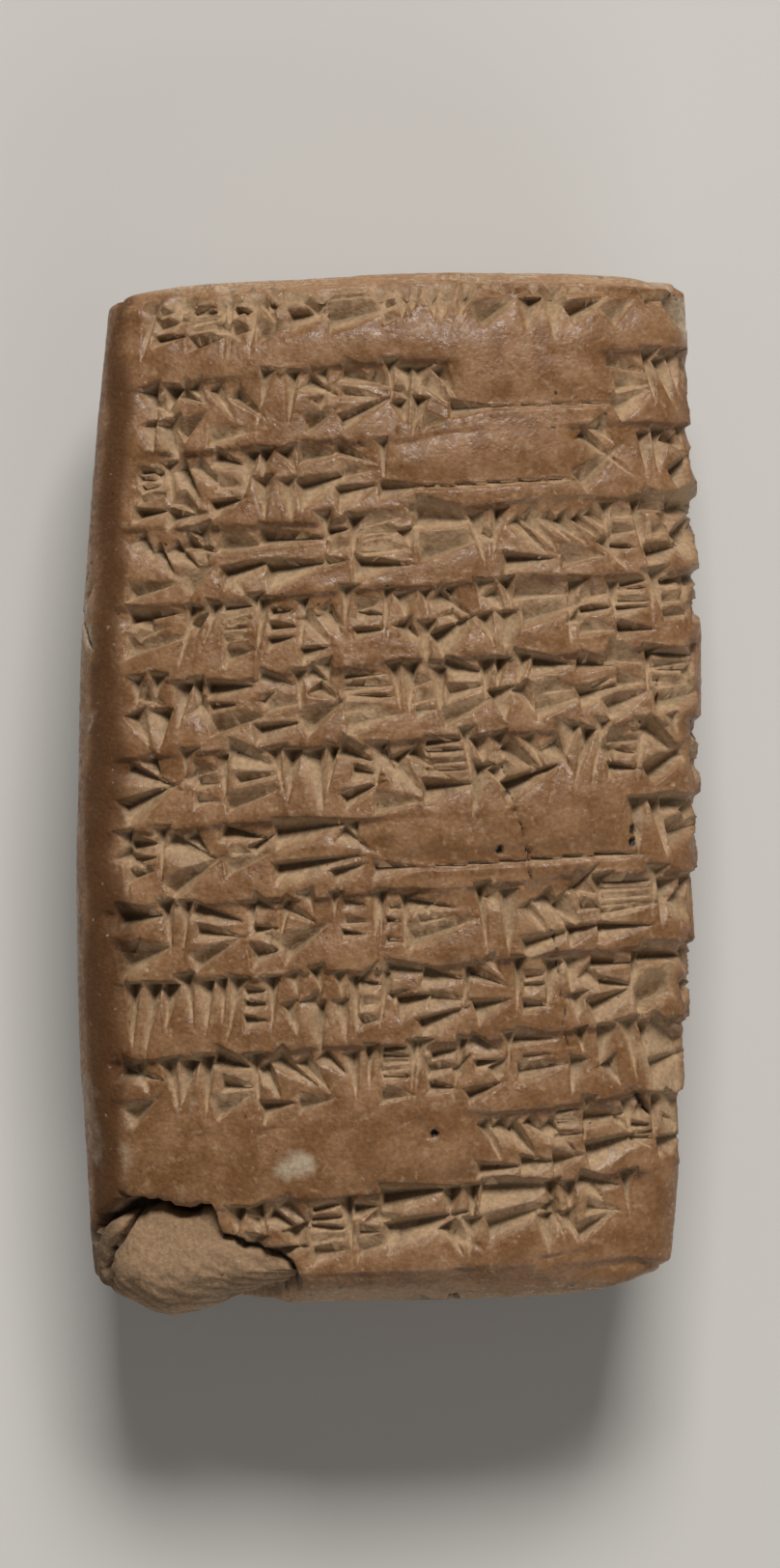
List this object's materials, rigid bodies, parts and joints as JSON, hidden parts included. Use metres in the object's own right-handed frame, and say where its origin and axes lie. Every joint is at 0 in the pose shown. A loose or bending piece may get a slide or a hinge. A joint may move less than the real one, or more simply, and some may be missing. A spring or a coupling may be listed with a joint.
{
  "type": "cuneiform tablet",
  "caption": "Small brown clay tablet, crowned on both faces and covered with rows of wedge-shaped strokes, with one broken corner.",
  "frame": {"origin": "middle of the flat spot on the reverse that the tablet rests on, at the bottom centre of its box", "axes": "+X towards the right edge of the obverse, +Y towards its upper end, +Z out of the obverse"},
  "size_m": [0.0314, 0.0512, 0.0155],
  "materials": {
    "clay": "matte, slightly burnished on the high surfaces"
  },
  "bodies": {
    "root": {"tablet": "clay"}
  },
  "joints": []
}
